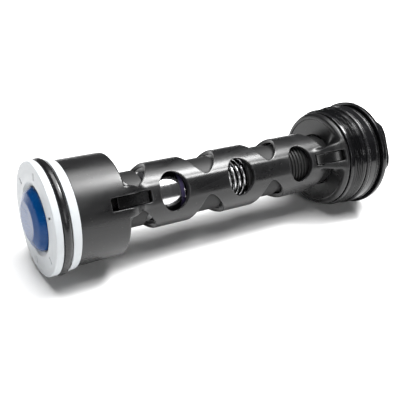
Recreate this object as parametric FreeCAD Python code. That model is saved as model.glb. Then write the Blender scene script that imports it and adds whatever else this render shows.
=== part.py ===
"""Screw-in cartridge valve: a slotted plastic cage, a sprung poppet at its nose and a hex cap at its tail.

Millimetres. +X runs along the valve's axis, from the poppet to the hex cap, and +Z is up as the valve lies
on a bench. The origin is on the axis, at the underside of the cap's flange, where the valve seats.
"""
import FreeCAD, Part
import math
import os

V = FreeCAD.Vector

# ---- Driving dimensions ------------------------------------------------------------------------------------
TUBE_R = 18.75                      # outside of the cage tube
TUBE_WALL = 2.75
RING_PITCH = 22.3                   # axial distance between neighbouring rings of ports
FIRST_RING_X = -166.3
RING_COUNT = 7
CLOCK = 150.0                       # polar angle, from +Y towards +Z, of the first arm
LEGS = 2                            # arms, windows and ports per ring

EVEN_PORT = (8.8, 10.9)             # half length along the axis, half width across it
ODD_PORT = (9.5, 13.5)              # reach towards the nose and towards the cap
LAST_PORT = (8.5, 9.5)
ODD_HALF_ANGLE = 70.5               # the odd ports run this far round the tube, to each side

CUP_R = 28.5
CUP_WALL = 3.0
CUP_FRONT_X = -203.3
CUP_REAR_X = -176.0
CUP_FLOOR = 2.6
END_DISC_R = 30.0
CAGE_END_X = -25.5
ARM_HALF_ANGLE = 18.0
WINDOW_W = 6.7
NEAR_WINDOW = (-185.6, -158.4)
FAR_WINDOW = (-42.8, -27.8)

SEAT_FACE_X = -217.0                # the seat ring's outer face, the nose of the valve
SEAT_R = 30.4
SEAT_BORE_R = 17.2
SEAT_LAND_X = -210.0                # the face that the poppet closes on
O_RING_X = -210.6
O_RING_SECTION = 2.45
O_RING_R = 28.6

POPPET_R = 16.9
DOME_FRONT_X = -221.4               # flat centre of the poppet's nose
POPPET_TAIL_X = -190.0
SEAL_FLANGE_R = 21.5                # the part of the poppet that carries its seal
NOTCH_ANGLES = (12.0, 282.0)        # polar angles of the two notches in the poppet's edge
SLOT_CLOCK = 30.0                   # polar angle of the seat ring's first key slot
SLOT_COUNT = 6
STEM_R = 4.0
STEM_FIT = 0.05                     # radial running clearance
STEM_FRONT_X = -206.0               # the stem stands in the poppet from here
STEM_END_X = -52.0
NUT_X = (-188.6, -183.6)
NUT_AF = 13.0
SPOOL_R = 13.9
SPOOL_X = (-158.0, -133.5)
SKIRT_R = 15.7                      # cup that takes the spring behind the spool
SKIRT_END_X = -111.0

WIRE_R = 0.95
COIL_R = 11.7
SPRING_X = (-131.9, -64.5)
SPRING_TURNS = 20

TONGUE_DEPTH = 1.0                  # how far the snap fingers lie below the arms
TONGUE_STEPS = 12
SPIDER_X = (-178.0, -160.0)         # collar of the poppet guide
HUB_X = (-170.4, -160.2)
BUSH_R = 5.98
SPOKE_W = 3.0                       # spokes of the poppet guide
SPOKE_COUNT = 4
GUIDE_TUBE_R = 14.6                 # the sleeve that holds the far end of the spring
GUIDE_TUBE_X = (-92.5, -28.6)
GUIDE_LAND_R = 15.75                # its lands, in the bore of the cage tube

THREAD_R = 31.6
THREAD_PITCH = 1.5
THREAD_TURNS = 6
THREAD_DEPTH = 0.8
THREAD_START_X = -22.8
PILOT_R = 31.9
PILOT_X = (-9.2, -4.4)              # plain land that centres the cap in the manifold
SEAL_GROOVE_R = 29.8
CAP_RING_SECTION = 1.3
FLANGE_RING_SECTION = 0.9
SPIGOT_X = -50.0                    # nose of the cap's spigot, inside the spring guide
CLIP_X = (-43.0, -41.5)             # groove for the ring that holds the spigot
FLANGE_R = 33.9
FLANGE_T = 3.2
FLANGE_FACE_R = 32.1                # the flange's seating face starts here, and is relieved inside it
FLANGE_RELIEF = 0.3
HEX_AF = 46.0
HEX_END_X = 16.0


# ---- Construction helpers ----------------------------------------------------------------------------------
def rounded_wire(points):
    """Closed wire through (x, radius, corner rounding) points, in the plane that holds the axis."""
    spots = [V(x, y, 0) for x, y, _ in points]
    corners = []
    for i, spot in enumerate(spots):
        to_last = (spots[i - 1] - spot).normalize()
        to_next = (spots[(i + 1) % len(spots)] - spot).normalize()
        rounding = points[i][2]
        if rounding == 0:
            corners.append((spot, None, spot))
            continue
        half = math.acos(max(-1.0, min(1.0, to_last.dot(to_next)))) / 2
        reach = rounding / math.tan(half)
        inward = (to_last + to_next).normalize()
        middle = spot + inward * (rounding / math.sin(half) - rounding)
        corners.append((spot + to_last * reach, middle, spot + to_next * reach))
    edges = []
    for i, (start, middle, end) in enumerate(corners):
        if middle is not None:
            edges.append(Part.Arc(start, middle, end).toShape())
        following = corners[(i + 1) % len(corners)][0]
        if (following - end).Length > 1e-4:
            edges.append(Part.LineSegment(end, following).toShape())
    return Part.Wire(edges)


def turned(points):
    """Solid of revolution about the axis from (x, radius[, corner rounding]) points."""
    full = [tuple(p) + (0,) if len(p) == 2 else tuple(p) for p in points]
    return Part.Face(rounded_wire(full)).revolve(V(0, 0, 0), V(1, 0, 0), 360.0)


def ring(x_start, x_end, r_inner, r_outer, edge=0.0):
    """Plain ring on the axis, with its outer edges rounded by edge."""
    return turned([(x_start, r_inner), (x_end, r_inner), (x_end, r_outer, edge), (x_start, r_outer, edge)])


def rod(x_start, x_end, radius):
    return Part.makeCylinder(radius, x_end - x_start, V(x_start, 0, 0), V(1, 0, 0))


def rubber_ring(x, radius, section):
    return Part.makeTorus(radius, section, V(x, 0, 0), V(1, 0, 0))


def clocked(shape, angle):
    """Copy of a shape that was made along +Y, turned about the axis to a polar angle."""
    copy = shape.copy()
    copy.rotate(V(0, 0, 0), V(1, 0, 0), angle)
    return copy


def around(shape, first, count=LEGS):
    return [clocked(shape, first + 360.0 * i / count) for i in range(count)]


def radial_block(x_start, x_end, width, r_start, r_end, corner=0.0):
    """Block along +Y from r_start to r_end, with the four edges that run outward rounded by corner."""
    block = Part.makeBox(x_end - x_start, r_end - r_start, width, V(x_start, r_start, -width / 2))
    if corner:
        upright = [e for e in block.Edges if abs(e.tangentAt(e.FirstParameter).y) > 0.99]
        block = block.makeFillet(corner, upright)
    return block


def radial_oval(x, half_length, half_width, r_start, r_end):
    """Oval prism along +Y, centred on x."""
    if half_length > half_width:
        oval = Part.Ellipse(V(x + half_length, r_start, 0), V(x, r_start, half_width), V(x, r_start, 0))
    else:
        oval = Part.Ellipse(V(x, r_start, half_width), V(x + half_length, r_start, 0), V(x, r_start, 0))
    return Part.Face(Part.Wire(oval.toShape())).extrude(V(0, r_end - r_start, 0))


def wide_port(x, front, rear, r_start, r_end):
    """Opening about +Y whose walls point at the axis: an oval in length and angle."""
    sections = []
    widest = math.sin(math.radians(ODD_HALF_ANGLE))
    for share in (-0.99, -0.94, -0.82, -0.58, -0.28, 0.0, 0.28, 0.58, 0.82, 0.94, 0.99):
        angle = share * ODD_HALF_ANGLE
        reach = math.sqrt(1 - (math.sin(math.radians(angle)) / widest) ** 2)
        low, high = x - front * reach, x + rear * reach
        corners = [V(low, r_start, 0), V(high, r_start, 0), V(high, r_end, 0), V(low, r_end, 0)]
        sections.append(clocked(Part.makePolygon(corners + corners[:1]), angle))
    return Part.makeLoft(sections, True, False)


def hexagon(x_start, x_end, across_flats, flat_angle):
    radius = across_flats / 2 / math.cos(math.pi / 6)
    turns = [math.radians(flat_angle + 30.0 + 60.0 * i) for i in range(7)]
    corners = [V(x_start, radius * math.cos(a), radius * math.sin(a)) for a in turns]
    return Part.Face(Part.makePolygon(corners)).extrude(V(x_end - x_start, 0, 0))


def ring_x(number):
    return FIRST_RING_X + RING_PITCH * (number - 1)


def even_angle():
    """Polar angle of the first port in the even rings, in line with an arm."""
    return CLOCK


def odd_angle():
    """Polar angle of the first port in the odd rings, midway between two arms."""
    return CLOCK + 180.0 / LEGS


# ---- Cage --------------------------------------------------------------------------------------------------
def arm(x_high, r_high, x_low):
    """Gusset that flows from a large radius down to the tube, as a sector about +Y."""
    x_mid = (x_high + x_low) / 2
    r_root = TUBE_R - TUBE_WALL / 2
    curve = Part.BezierCurve()
    curve.setPoles([V(x_high, r_high, 0), V(x_mid, r_high, 0), V(x_mid, TUBE_R, 0), V(x_low, TUBE_R, 0)])
    corners = [(x_low, TUBE_R), (x_low, r_root), (x_high, r_root), (x_high, r_high)]
    base = Part.makePolygon([V(x, r, 0) for x, r in corners])
    face = Part.Face(Part.Wire([curve.toShape()] + base.Edges))
    face.rotate(V(0, 0, 0), V(1, 0, 0), -ARM_HALF_ANGLE)
    return face.revolve(V(0, 0, 0), V(1, 0, 0), 2 * ARM_HALF_ANGLE)


def cage_body():
    bore = TUBE_R - TUBE_WALL
    cup_bore = CUP_R - CUP_WALL
    floor_x = CUP_REAR_X - CUP_FLOOR
    return turned([
        (CUP_FRONT_X, cup_bore, 0.4), (CUP_FRONT_X, CUP_R, 0.5),
        (CUP_REAR_X, CUP_R, 1.2), (CUP_REAR_X, TUBE_R, 1.5),
        (-33.5, TUBE_R, 3.0), (-29.6, 21.5, 3.0), (-28.4, END_DISC_R - 1.2, 1.5), (-26.9, END_DISC_R, 0.8),
        (CAGE_END_X, END_DISC_R, 0.3), (CAGE_END_X, bore),
        (floor_x, bore, 0.6), (floor_x, cup_bore, 1.5),
    ])


def port_cutters():
    cutters = []
    for number in range(1, RING_COUNT):
        x = ring_x(number)
        if number % 2:
            cutters += around(wide_port(x, *ODD_PORT, 12.0, 24.0), odd_angle())
        else:
            cutters += around(radial_oval(x, *EVEN_PORT, 8.0, 24.0), even_angle())
    last = wide_port(ring_x(RING_COUNT), *LAST_PORT, 12.0, 26.5)
    keep_disc = Part.makeBox(20.0, 80.0, 80.0, V(-28.3, -40.0, -40.0))
    return cutters + around(last.cut(keep_disc), odd_angle())


def make_cage():
    tube = cage_body().cut(port_cutters())
    near = arm(CUP_REAR_X - 1.0, CUP_R, -157.5)
    far = arm(-27.4, END_DISC_R - 1.6, -45.8)
    cage = tube.fuse(around(near, CLOCK) + around(far, CLOCK))
    windows = []
    for x_start, x_end in (NEAR_WINDOW, FAR_WINDOW):
        windows += around(radial_block(x_start, x_end, WINDOW_W, 14.0, 40.0, 0.7), CLOCK)
    return cage.cut(windows)


# ---- Nose: seat ring and its seal --------------------------------------------------------------------------
def make_seat_ring():
    groove_r = O_RING_R - O_RING_SECTION - 0.05
    groove = (O_RING_X - O_RING_SECTION - 0.1, O_RING_X + O_RING_SECTION + 0.1)
    sleeve_r = CUP_R - CUP_WALL - 0.05
    body = turned([
        (SEAT_FACE_X, SEAT_BORE_R + 2.4, 0.2), (SEAT_FACE_X, SEAT_R, 0.7),
        (groove[0], SEAT_R, 0.3), (groove[0], groove_r, 0.4), (groove[1], groove_r, 0.4),
        (groove[1], SEAT_R - 0.5, 0.3), (CUP_FRONT_X, SEAT_R - 1.1, 0.5), (CUP_FRONT_X, sleeve_r),
        (-196.0, sleeve_r, 0.5), (-196.0, 23.2, 0.4), (SEAT_LAND_X, 23.2, 0.4),
        (SEAT_LAND_X, SEAT_BORE_R, 0.4), (SEAT_FACE_X + 2.0, SEAT_BORE_R, 0.6),
    ])
    key_slot = Part.makeBox(0.8, 4.2, 1.3, V(SEAT_FACE_X, 22.4, -0.65))
    return body.cut(around(key_slot, SLOT_CLOCK, SLOT_COUNT))


def make_seat_o_ring():
    return rubber_ring(O_RING_X, O_RING_R, O_RING_SECTION)


# ---- Moving group: poppet, stem and spool ------------------------------------------------------------------
def make_poppet():
    flange_x = SEAT_LAND_X + 2.7
    body = turned([
        (DOME_FRONT_X, 0.0), (DOME_FRONT_X, 10.4, 2.5), (DOME_FRONT_X + 1.8, 14.6, 3.0),
        (SEAT_FACE_X + 0.4, POPPET_R, 2.0), (flange_x, POPPET_R), (flange_x, SEAL_FLANGE_R, 0.4),
        (flange_x + 3.0, SEAL_FLANGE_R, 0.8), (flange_x + 5.0, 9.0, 1.5),
        (POPPET_TAIL_X, 8.0, 0.6), (POPPET_TAIL_X, 0.0),
    ])
    stem_socket = rod(STEM_FRONT_X, POPPET_TAIL_X, STEM_R)
    notch = Part.makeBox(6.0, 5.0, 4.6, V(DOME_FRONT_X - 0.6, 13.6, -2.3))
    return body.cut([stem_socket] + [clocked(notch, angle) for angle in NOTCH_ANGLES])


def make_poppet_seal():
    return ring(SEAT_LAND_X + 0.1, SEAT_LAND_X + 2.6, POPPET_R + 0.05, SEAL_FLANGE_R - 0.2, 0.5)


def make_poppet_washer():
    return ring(POPPET_TAIL_X, NUT_X[0], STEM_R + STEM_FIT, 9.5, 0.2)


def make_stem_nut():
    front, rear = NUT_X
    nut = hexagon(front, rear, NUT_AF, CLOCK).cut(rod(front - 1.0, rear + 1.0, STEM_R + 0.02))
    corner_r = NUT_AF / 2 + 1.1
    corners_off = turned([
        (front - 0.4, 0.0), (front - 0.4, corner_r - 0.6), (front + 0.6, corner_r),
        (rear - 0.6, corner_r), (rear + 0.4, corner_r - 0.6), (rear + 0.4, 0.0),
    ])
    return nut.common(corners_off)


def make_stem():
    return turned([
        (STEM_FRONT_X, 0.0), (STEM_FRONT_X, STEM_R, 0.3), (STEM_END_X, STEM_R, 1.0), (STEM_END_X, 0.0),
    ])


def make_spool():
    front, rear = SPOOL_X
    hub_r = STEM_R + STEM_FIT
    return turned([
        (front, hub_r), (front, SPOOL_R - 2.6, 0.4), (front + 2.4, SPOOL_R, 0.6),
        (rear - 4.4, SPOOL_R, 0.25), (rear - 4.4, SPOOL_R - 1.6), (rear - 2.0, SPOOL_R - 1.6),
        (rear - 2.0, SPOOL_R, 0.25), (rear, SPOOL_R, 0.6), (rear, hub_r),
    ])


def make_piston_ring():
    rear = SPOOL_X[1]
    closed = ring(rear - 4.3, rear - 2.1, SPOOL_R - 1.5, SPOOL_R + 0.35, 0.3)
    scarf_gap = Part.makeBox(4.0, 4.0, 0.7, V(rear - 5.2, SPOOL_R - 2.5, -0.35))
    return closed.cut(clocked(scarf_gap, CLOCK + 20.0))


def make_stem_clip():
    """Open retaining clip in front of the spool, seen through the first ring of ports."""
    clip = ring(SPOOL_X[0] - 1.4, SPOOL_X[0] - 0.1, STEM_R + 0.02, 7.4, 0.2)
    mouth = Part.makeBox(3.0, 9.0, 4.4, V(SPOOL_X[0] - 2.0, 0.0, -2.2))
    return clip.cut(clocked(mouth, odd_angle() + 180.0))


def make_spring_seat():
    """Cup between spool and spring, with a skirt that runs in the cage tube around the first coils."""
    front, floor = SPOOL_X[1] + 0.05, SPRING_X[0] - 0.1
    hub_r = STEM_R + STEM_FIT
    return turned([
        (front, hub_r), (front, SKIRT_R, 0.5), (SKIRT_END_X, SKIRT_R, 0.5), (SKIRT_END_X, SKIRT_R - 1.4, 0.3),
        (floor, SKIRT_R - 1.4), (floor, 10.2, 0.2), (floor + 1.7, 9.9, 0.4), (floor + 1.7, hub_r),
    ])


# ---- Spring, its guide and the stem's front guide ----------------------------------------------------------
def make_main_spring():
    length = SPRING_X[1] - SPRING_X[0] - 2 * WIRE_R
    path = Part.makeHelix(length / SPRING_TURNS, length, COIL_R)
    section = Part.Wire(Part.makeCircle(WIRE_R, V(COIL_R, 0, 0), V(0, 1, 0)))
    coil = Part.Wire(path.Edges).makePipeShell([section], True, True)
    coil.rotate(V(0, 0, 0), V(0, 1, 0), 90)
    coil.translate(V(SPRING_X[0] + WIRE_R, 0, 0))
    return Part.Solid(coil) if coil.ShapeType != "Solid" else coil


def tongue(x_start, x_end, r_root, arm_x, arm_r):
    """Snap finger along +Y that fills one of the cage's windows, just below the slope of the arm."""
    width = WINDOW_W - 0.6
    top = []
    for i in range(TONGUE_STEPS + 1):
        x = x_start + (x_end - x_start) * i / TONGUE_STEPS
        along = min(1.0, max(0.0, (x - arm_x[0]) / (arm_x[1] - arm_x[0])))
        r = arm_r[0] + (arm_r[1] - arm_r[0]) * along * along * (3 - 2 * along)
        top.append((x, r - TONGUE_DEPTH))
    corners = [(x_start, r_root), (x_end, r_root)] + top[::-1]
    outline = Part.makePolygon([V(x, r, -width / 2) for x, r in corners + corners[:1]])
    return Part.Face(outline).extrude(V(0, 0, width))


def make_poppet_guide():
    """Spider that carries the stem's bush in the mouth of the cage tube."""
    collar = ring(SPIDER_X[0], SPIDER_X[1], 13.7, SKIRT_R, 0.4)
    hub = ring(HUB_X[0], HUB_X[1], BUSH_R + 0.02, 8.6, 0.5)
    spoke = radial_block(HUB_X[0] + 0.4, HUB_X[1] - 0.8, SPOKE_W, 7.5, 14.5)
    finger = tongue(SPIDER_X[0] - 2.4, SPIDER_X[1] + 0.2, 14.6, (-177.0, -157.5), (24.6, TUBE_R))
    spokes = around(spoke, CLOCK + 45.0, SPOKE_COUNT)
    return collar.fuse([hub] + spokes + around(finger, CLOCK)).removeSplitter()


def make_guide_bush():
    return ring(HUB_X[0] - 0.3, HUB_X[1] + 0.3, STEM_R + STEM_FIT, BUSH_R, 0.3)


def make_spring_guide():
    """Sleeve around the far end of the spring, with a floor that guides the stem's tail."""
    front, rear = GUIDE_TUBE_X
    inner = GUIDE_TUBE_R - 1.5
    outline = [(front, inner, 0.3), (front, GUIDE_LAND_R, 0.5)]
    outline += [(-69.6, GUIDE_LAND_R, 0.3), (-69.0, GUIDE_TUBE_R)]
    for i in range(6):
        x = ring_x(6) - 6.6 + 2.4 * i
        outline += [(x, GUIDE_TUBE_R), (x, GUIDE_TUBE_R + 0.9, 0.2), (x + 1.1, GUIDE_TUBE_R + 0.9, 0.2)]
        outline += [(x + 1.1, GUIDE_TUBE_R)]
    outline += [(-45.6, GUIDE_TUBE_R), (-45.0, GUIDE_LAND_R, 0.3), (rear, GUIDE_LAND_R, 0.3), (rear, inner)]
    outline += [(CLIP_X[1] + 0.1, inner), (CLIP_X[1] + 0.1, inner + 0.6)]
    outline += [(CLIP_X[0] - 0.1, inner + 0.6), (CLIP_X[0] - 0.1, inner)]
    sleeve = turned(outline)
    floor = ring(-61.9, -57.5, STEM_R + STEM_FIT, inner + 0.5)
    finger = tongue(-42.2, rear - 0.2, 14.6, (-45.8, -27.4), (TUBE_R, 28.4))
    return sleeve.fuse([floor] + around(finger, CLOCK)).removeSplitter()


def make_spring_shims():
    first = ring(-64.4, -63.2, 8.6, 12.9, 0.2)
    second = ring(-63.15, -61.95, 8.6, 12.9, 0.2)
    return Part.makeCompound([first, second])


# ---- Hex cap and its seals ---------------------------------------------------------------------------------
def thread_profile():
    """Outline of the male thread's ridges, in order along the axis."""
    points = []
    root = THREAD_R - THREAD_DEPTH
    for i in range(THREAD_TURNS):
        x = THREAD_START_X + THREAD_PITCH * i
        points += [(x, root), (x + 0.58, THREAD_R), (x + 0.82, THREAD_R), (x + 1.4, root)]
    return points


def make_end_cap():
    spigot_r = GUIDE_TUBE_R - 1.7
    thread_end_x = THREAD_START_X + THREAD_PITCH * THREAD_TURNS
    face_x = CAGE_END_X + 0.1
    spigot = [
        (-36.0, 0.0), (-36.0, 6.0), (SPIGOT_X, 6.0, 0.4), (SPIGOT_X, spigot_r, 0.8),
        (CLIP_X[0], spigot_r), (CLIP_X[0], spigot_r - 1.3),
        (CLIP_X[1], spigot_r - 1.3), (CLIP_X[1], spigot_r),
        (-28.2, spigot_r), (-28.2, 15.7, 0.3), (face_x, 15.7),
    ]
    lead_in = [(face_x, 28.4), (face_x + 0.7, 28.4), (face_x + 0.7, 30.7, 0.7), (face_x + 2.4, 30.9, 0.7)]
    seal_lands = [
        (thread_end_x + 0.1, THREAD_R - 0.4, 0.3), (thread_end_x + 0.9, THREAD_R - 0.4),
        (thread_end_x + 0.9, SEAL_GROOVE_R), (PILOT_X[0], SEAL_GROOVE_R),
        (PILOT_X[0], PILOT_R, 0.4), (PILOT_X[1], PILOT_R, 0.3), (PILOT_X[1], SEAL_GROOVE_R),
        (FLANGE_RELIEF, SEAL_GROOVE_R), (FLANGE_RELIEF, FLANGE_FACE_R), (0.0, FLANGE_FACE_R),
    ]
    flange = [(0.0, FLANGE_R, 0.5), (FLANGE_T, FLANGE_R, 0.9), (FLANGE_T, 0.0)]
    body = turned(spigot + lead_in + thread_profile() + seal_lands + flange)
    head = hexagon(FLANGE_T - 0.5, HEX_END_X, HEX_AF, CLOCK)
    corner_r = HEX_AF / 2 + 2.9
    corners_off = turned([
        (FLANGE_T - 0.5, 0.0), (FLANGE_T - 0.5, corner_r), (HEX_END_X - 1.6, corner_r, 0.8),
        (HEX_END_X, HEX_AF / 2 + 0.4, 0.4), (HEX_END_X, 0.0),
    ])
    return body.fuse(head.common(corners_off)).removeSplitter()


def make_retaining_ring():
    """Split wire ring that locks the cap's spigot into the spring guide."""
    closed = ring(CLIP_X[0] + 0.05, CLIP_X[1] - 0.05, GUIDE_TUBE_R - 2.95, GUIDE_TUBE_R - 1.1, 0.3)
    gap = Part.makeBox(4.0, 4.0, 5.0, V(CLIP_X[0] - 1.0, GUIDE_TUBE_R - 4.0, -2.5))
    return closed.cut(clocked(gap, odd_angle()))


def make_cap_o_ring():
    x = PILOT_X[0] - CAP_RING_SECTION - 0.1
    return rubber_ring(x, SEAL_GROOVE_R + CAP_RING_SECTION + 0.05, CAP_RING_SECTION)


def make_flange_o_ring():
    return rubber_ring(PILOT_X[1] + FLANGE_RING_SECTION + 0.05, SEAL_GROOVE_R + 1.5, FLANGE_RING_SECTION)


def make_backup_ring():
    closed = ring(-2.3, -1.4, SEAL_GROOVE_R + 0.1, FLANGE_FACE_R - 0.15, 0.2)
    scarf = Part.makeBox(3.0, 6.0, 0.5, V(-3.2, SEAL_GROOVE_R - 1.0, -0.25))
    return closed.cut(clocked(scarf, odd_angle() + 10.0))


PARTS = {
    "cage": make_cage,
    "seat_ring": make_seat_ring,
    "seat_o_ring": make_seat_o_ring,
    "poppet": make_poppet,
    "poppet_seal": make_poppet_seal,
    "poppet_washer": make_poppet_washer,
    "stem_nut": make_stem_nut,
    "stem": make_stem,
    "spool": make_spool,
    "piston_ring": make_piston_ring,
    "stem_clip": make_stem_clip,
    "spring_seat": make_spring_seat,
    "main_spring": make_main_spring,
    "poppet_guide": make_poppet_guide,
    "guide_bush": make_guide_bush,
    "spring_guide": make_spring_guide,
    "spring_shims": make_spring_shims,
    "retaining_ring": make_retaining_ring,
    "end_cap": make_end_cap,
    "cap_o_ring": make_cap_o_ring,
    "flange_o_ring": make_flange_o_ring,
    "backup_ring": make_backup_ring,
}


def main():
    os.makedirs("parts", exist_ok=True)
    for name, maker in PARTS.items():
        maker().exportStep(f"parts/{name}.step")


main()
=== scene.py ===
"""Cartridge valve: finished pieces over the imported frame, on a plain studio stage."""

import math

import bmesh
import bpy
import numpy as np
from bpy.props import FloatProperty, FloatVectorProperty, IntProperty, PointerProperty
from mathutils import Matrix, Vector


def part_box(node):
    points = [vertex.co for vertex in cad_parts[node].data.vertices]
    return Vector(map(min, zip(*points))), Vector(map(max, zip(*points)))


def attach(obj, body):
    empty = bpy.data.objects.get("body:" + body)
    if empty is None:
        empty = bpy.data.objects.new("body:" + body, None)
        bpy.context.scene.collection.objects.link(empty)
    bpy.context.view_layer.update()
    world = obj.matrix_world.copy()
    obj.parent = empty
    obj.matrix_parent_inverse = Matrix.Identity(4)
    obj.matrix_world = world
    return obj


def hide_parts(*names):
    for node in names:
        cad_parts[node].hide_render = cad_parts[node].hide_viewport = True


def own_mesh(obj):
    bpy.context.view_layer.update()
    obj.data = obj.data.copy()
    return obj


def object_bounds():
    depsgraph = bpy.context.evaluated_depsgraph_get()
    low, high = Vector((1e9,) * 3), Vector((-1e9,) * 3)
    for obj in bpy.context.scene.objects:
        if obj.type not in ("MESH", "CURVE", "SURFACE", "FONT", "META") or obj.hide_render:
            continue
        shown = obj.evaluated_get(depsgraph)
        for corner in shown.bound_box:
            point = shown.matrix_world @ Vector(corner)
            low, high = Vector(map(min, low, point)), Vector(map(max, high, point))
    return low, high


bl_info = {
    "name": "Cartridge valve",
    "version": (1, 0, 0),
    "blender": (4, 5, 0),
    "location": "3D View > Sidebar > Valve",
    "description": "Builds the finished pieces of a screw-in poppet cartridge valve over its CAD frame",
    "category": "Object",
}

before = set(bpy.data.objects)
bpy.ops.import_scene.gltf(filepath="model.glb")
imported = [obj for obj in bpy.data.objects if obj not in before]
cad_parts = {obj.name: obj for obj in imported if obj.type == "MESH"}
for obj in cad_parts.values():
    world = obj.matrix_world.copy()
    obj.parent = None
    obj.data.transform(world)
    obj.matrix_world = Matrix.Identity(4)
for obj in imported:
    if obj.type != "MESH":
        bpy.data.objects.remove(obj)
CAD_BOX = [list(corner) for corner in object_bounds()]
MM = 0.001
ARM_ANGLE = math.radians(150.0)     # polar angle of the first of two arms, from +Y towards +Z
QUARTER = math.pi / 2               # from an arm round to the middle of the wide ports
SIXTH = math.pi / 3
STEM_HOLE, STEM_GRIP = 4.05, 4.02   # radius of running and of gripping holes around the stem


def extent(node):
    """Front x, rear x and outer radius of a CAD node, in millimetres."""
    low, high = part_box(node)
    return low.x / MM, high.x / MM, max(high.y, -low.y, high.z, -low.z) / MM


# ---- Sizes and colours -----------------------------------------------------------------------------------
def length(name, text, value, low=0.0, high=1.0):
    return FloatProperty(name=name, description=text, default=value, min=low, max=high, unit="LENGTH",
                         subtype="DISTANCE", precision=5)


def colour(name, text, value):
    return FloatVectorProperty(name=name, description=text, default=value, min=0.0, max=1.0, size=3,
                               subtype="COLOR")


class CageSettings(bpy.types.PropertyGroup):
    port_rim: length("Port rim", "Rounding of the rims of ports and windows", 0.0005, 0.0001, 0.002)
    arm_blend: length("Arm blend", "Radius where the arms flow into the tube", 0.0024, 0.0005, 0.005)
    plastic: colour("Nylon", "Colour of the glass-filled nylon", (0.0075, 0.0075, 0.0078))


class CapSettings(bpy.types.PropertyGroup):
    thread_pitch: length("Thread pitch", "Pitch of the fine male thread", 0.0015, 0.0005, 0.003)
    across_flats: length("Across flats", "Size of the hex", 0.046, 0.02, 0.06)
    plastic: colour("Cap plastic", "Colour of the moulded cap", (0.004, 0.004, 0.0045))


class NoseSettings(bpy.types.PropertyGroup):
    seat_white: colour("Seat", "Colour of the seat ring", (0.45, 0.47, 0.485))
    poppet_blue: colour("Poppet", "Colour of the poppet", (0.0006, 0.040, 0.15))
    rubber: colour("Rubber", "Colour of the rubber rings", (0.006, 0.006, 0.0065))


class SpringSettings(bpy.types.PropertyGroup):
    turns: IntProperty(name="Turns", description="Number of turns of the main spring", default=20, min=4,
                       max=30)
    wire: length("Wire", "Diameter of the spring's wire", 0.0019, 0.0005, 0.003)
    steel: colour("Steel", "Colour of the bright steel", (0.66, 0.66, 0.67))


class StageSettings(bpy.types.PropertyGroup):
    floor: colour("Floor", "Colour of the floor", (0.86, 0.86, 0.86))
    strength: FloatProperty(name="Light", description="Power of the soft boxes, as a factor", default=1.0,
                            min=0.0, max=10.0)


# ---- Mesh helpers ----------------------------------------------------------------------------------------
def rounded(points, steps=4):
    """Outline through (x, radius[, rounding]) points, and a 0..1 weight that marks its outer edges."""
    count = len(points)
    spots = np.array([p[:2] for p in points], float)
    turned = sum(spots[i - 1][0] * spots[i][1] - spots[i][0] * spots[i - 1][1] for i in range(count))
    line, edge = [], []
    for i, point in enumerate(points):
        spot, size = spots[i], point[2] if len(point) > 2 else 0.0
        before, after = spots[i - 1] - spot, spots[(i + 1) % count] - spot
        before, after = before / np.linalg.norm(before), after / np.linalg.norm(after)
        outer = (before[0] * after[1] - before[1] * after[0]) * turned < 0
        if size == 0:
            line.append(spot)
            edge.append(float(outer) * 0.6)
            continue
        half = math.acos(max(-1.0, min(1.0, before @ after))) / 2
        middle = spot + (before + after) / np.linalg.norm(before + after) * size / math.sin(half)
        reach = size / math.tan(half)
        start, end = spot + before * reach - middle, spot + after * reach - middle
        sweep = math.pi - 2 * half
        for k in range(steps + 1):
            t = k / steps
            arc = (start * math.sin((1 - t) * sweep) + end * math.sin(t * sweep)) / math.sin(sweep)
            line.append(middle + arc)
            edge.append(float(outer) * math.sin(math.pi * t) if size < 1.2 else 0.0)
    return np.array(line), np.array(edge)


def mesh_object(name, points, faces, edge=None):
    """Smooth object in metres from points in millimetres, joined at the axis and facing outward."""
    mesh = bpy.data.meshes.new(name)
    mesh.from_pydata((np.asarray(points) * MM).tolist(), [], [tuple(int(v) for v in f) for f in faces])
    mark = mesh.attributes.new("edge", "FLOAT", "POINT")
    if edge is not None:
        mark.data.foreach_set("value", np.asarray(edge, np.float32))
    work = bmesh.new()
    work.from_mesh(mesh)
    bmesh.ops.remove_doubles(work, verts=work.verts, dist=1e-7)
    bmesh.ops.dissolve_degenerate(work, edges=work.edges, dist=1e-8)
    bmesh.ops.recalc_face_normals(work, faces=work.faces)
    work.to_mesh(mesh)
    work.free()
    mesh.shade_smooth()
    mesh.set_sharp_from_angle(angle=math.radians(38))
    piece = bpy.data.objects.new(name, mesh)
    bpy.context.scene.collection.objects.link(piece)
    weighted = piece.modifiers.new("weighted normals", "WEIGHTED_NORMAL")
    weighted.keep_sharp = True
    return piece


def lathe(outline, segments=144, reshape=None, gap=0.0, gap_at=0.0, steps=4):
    """Points, faces and edge weights of an outline turned about the axis, whole or with a gap in it."""
    line, edge = rounded(outline, steps)
    rows = len(line)
    if gap:
        angles = np.linspace(gap_at + gap / 2, gap_at + 2 * math.pi - gap / 2, segments + 1)
    else:
        angles = np.linspace(0, 2 * math.pi, segments, endpoint=False)
    x, r, a = line[:, :1] + 0 * angles, line[:, 1:] + 0 * angles, angles + 0 * line[:, :1]
    if reshape:
        x, r = reshape(x, r, a)
    points = np.stack((x, r * np.cos(a), r * np.sin(a)), -1).reshape(-1, 3)
    number = np.arange(rows * len(angles)).reshape(rows, -1)
    following = np.roll(number, -1, 0)
    near, far = number, np.roll(number, -1, 1)
    near2, far2 = following, np.roll(following, -1, 1)
    keep = slice(None, -1) if gap else slice(None)
    quads = np.stack((near[:, keep], far[:, keep], far2[:, keep], near2[:, keep]), -1)
    on_axis = (line[:, 1] < 1e-6) & (np.roll(line[:, 1], -1) < 1e-6)
    faces = quads[~on_axis].reshape(-1, 4).tolist()
    if gap:
        faces += [number[:, 0].tolist(), number[::-1, -1].tolist()]
    return points, faces, np.repeat(edge, len(angles))


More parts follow.
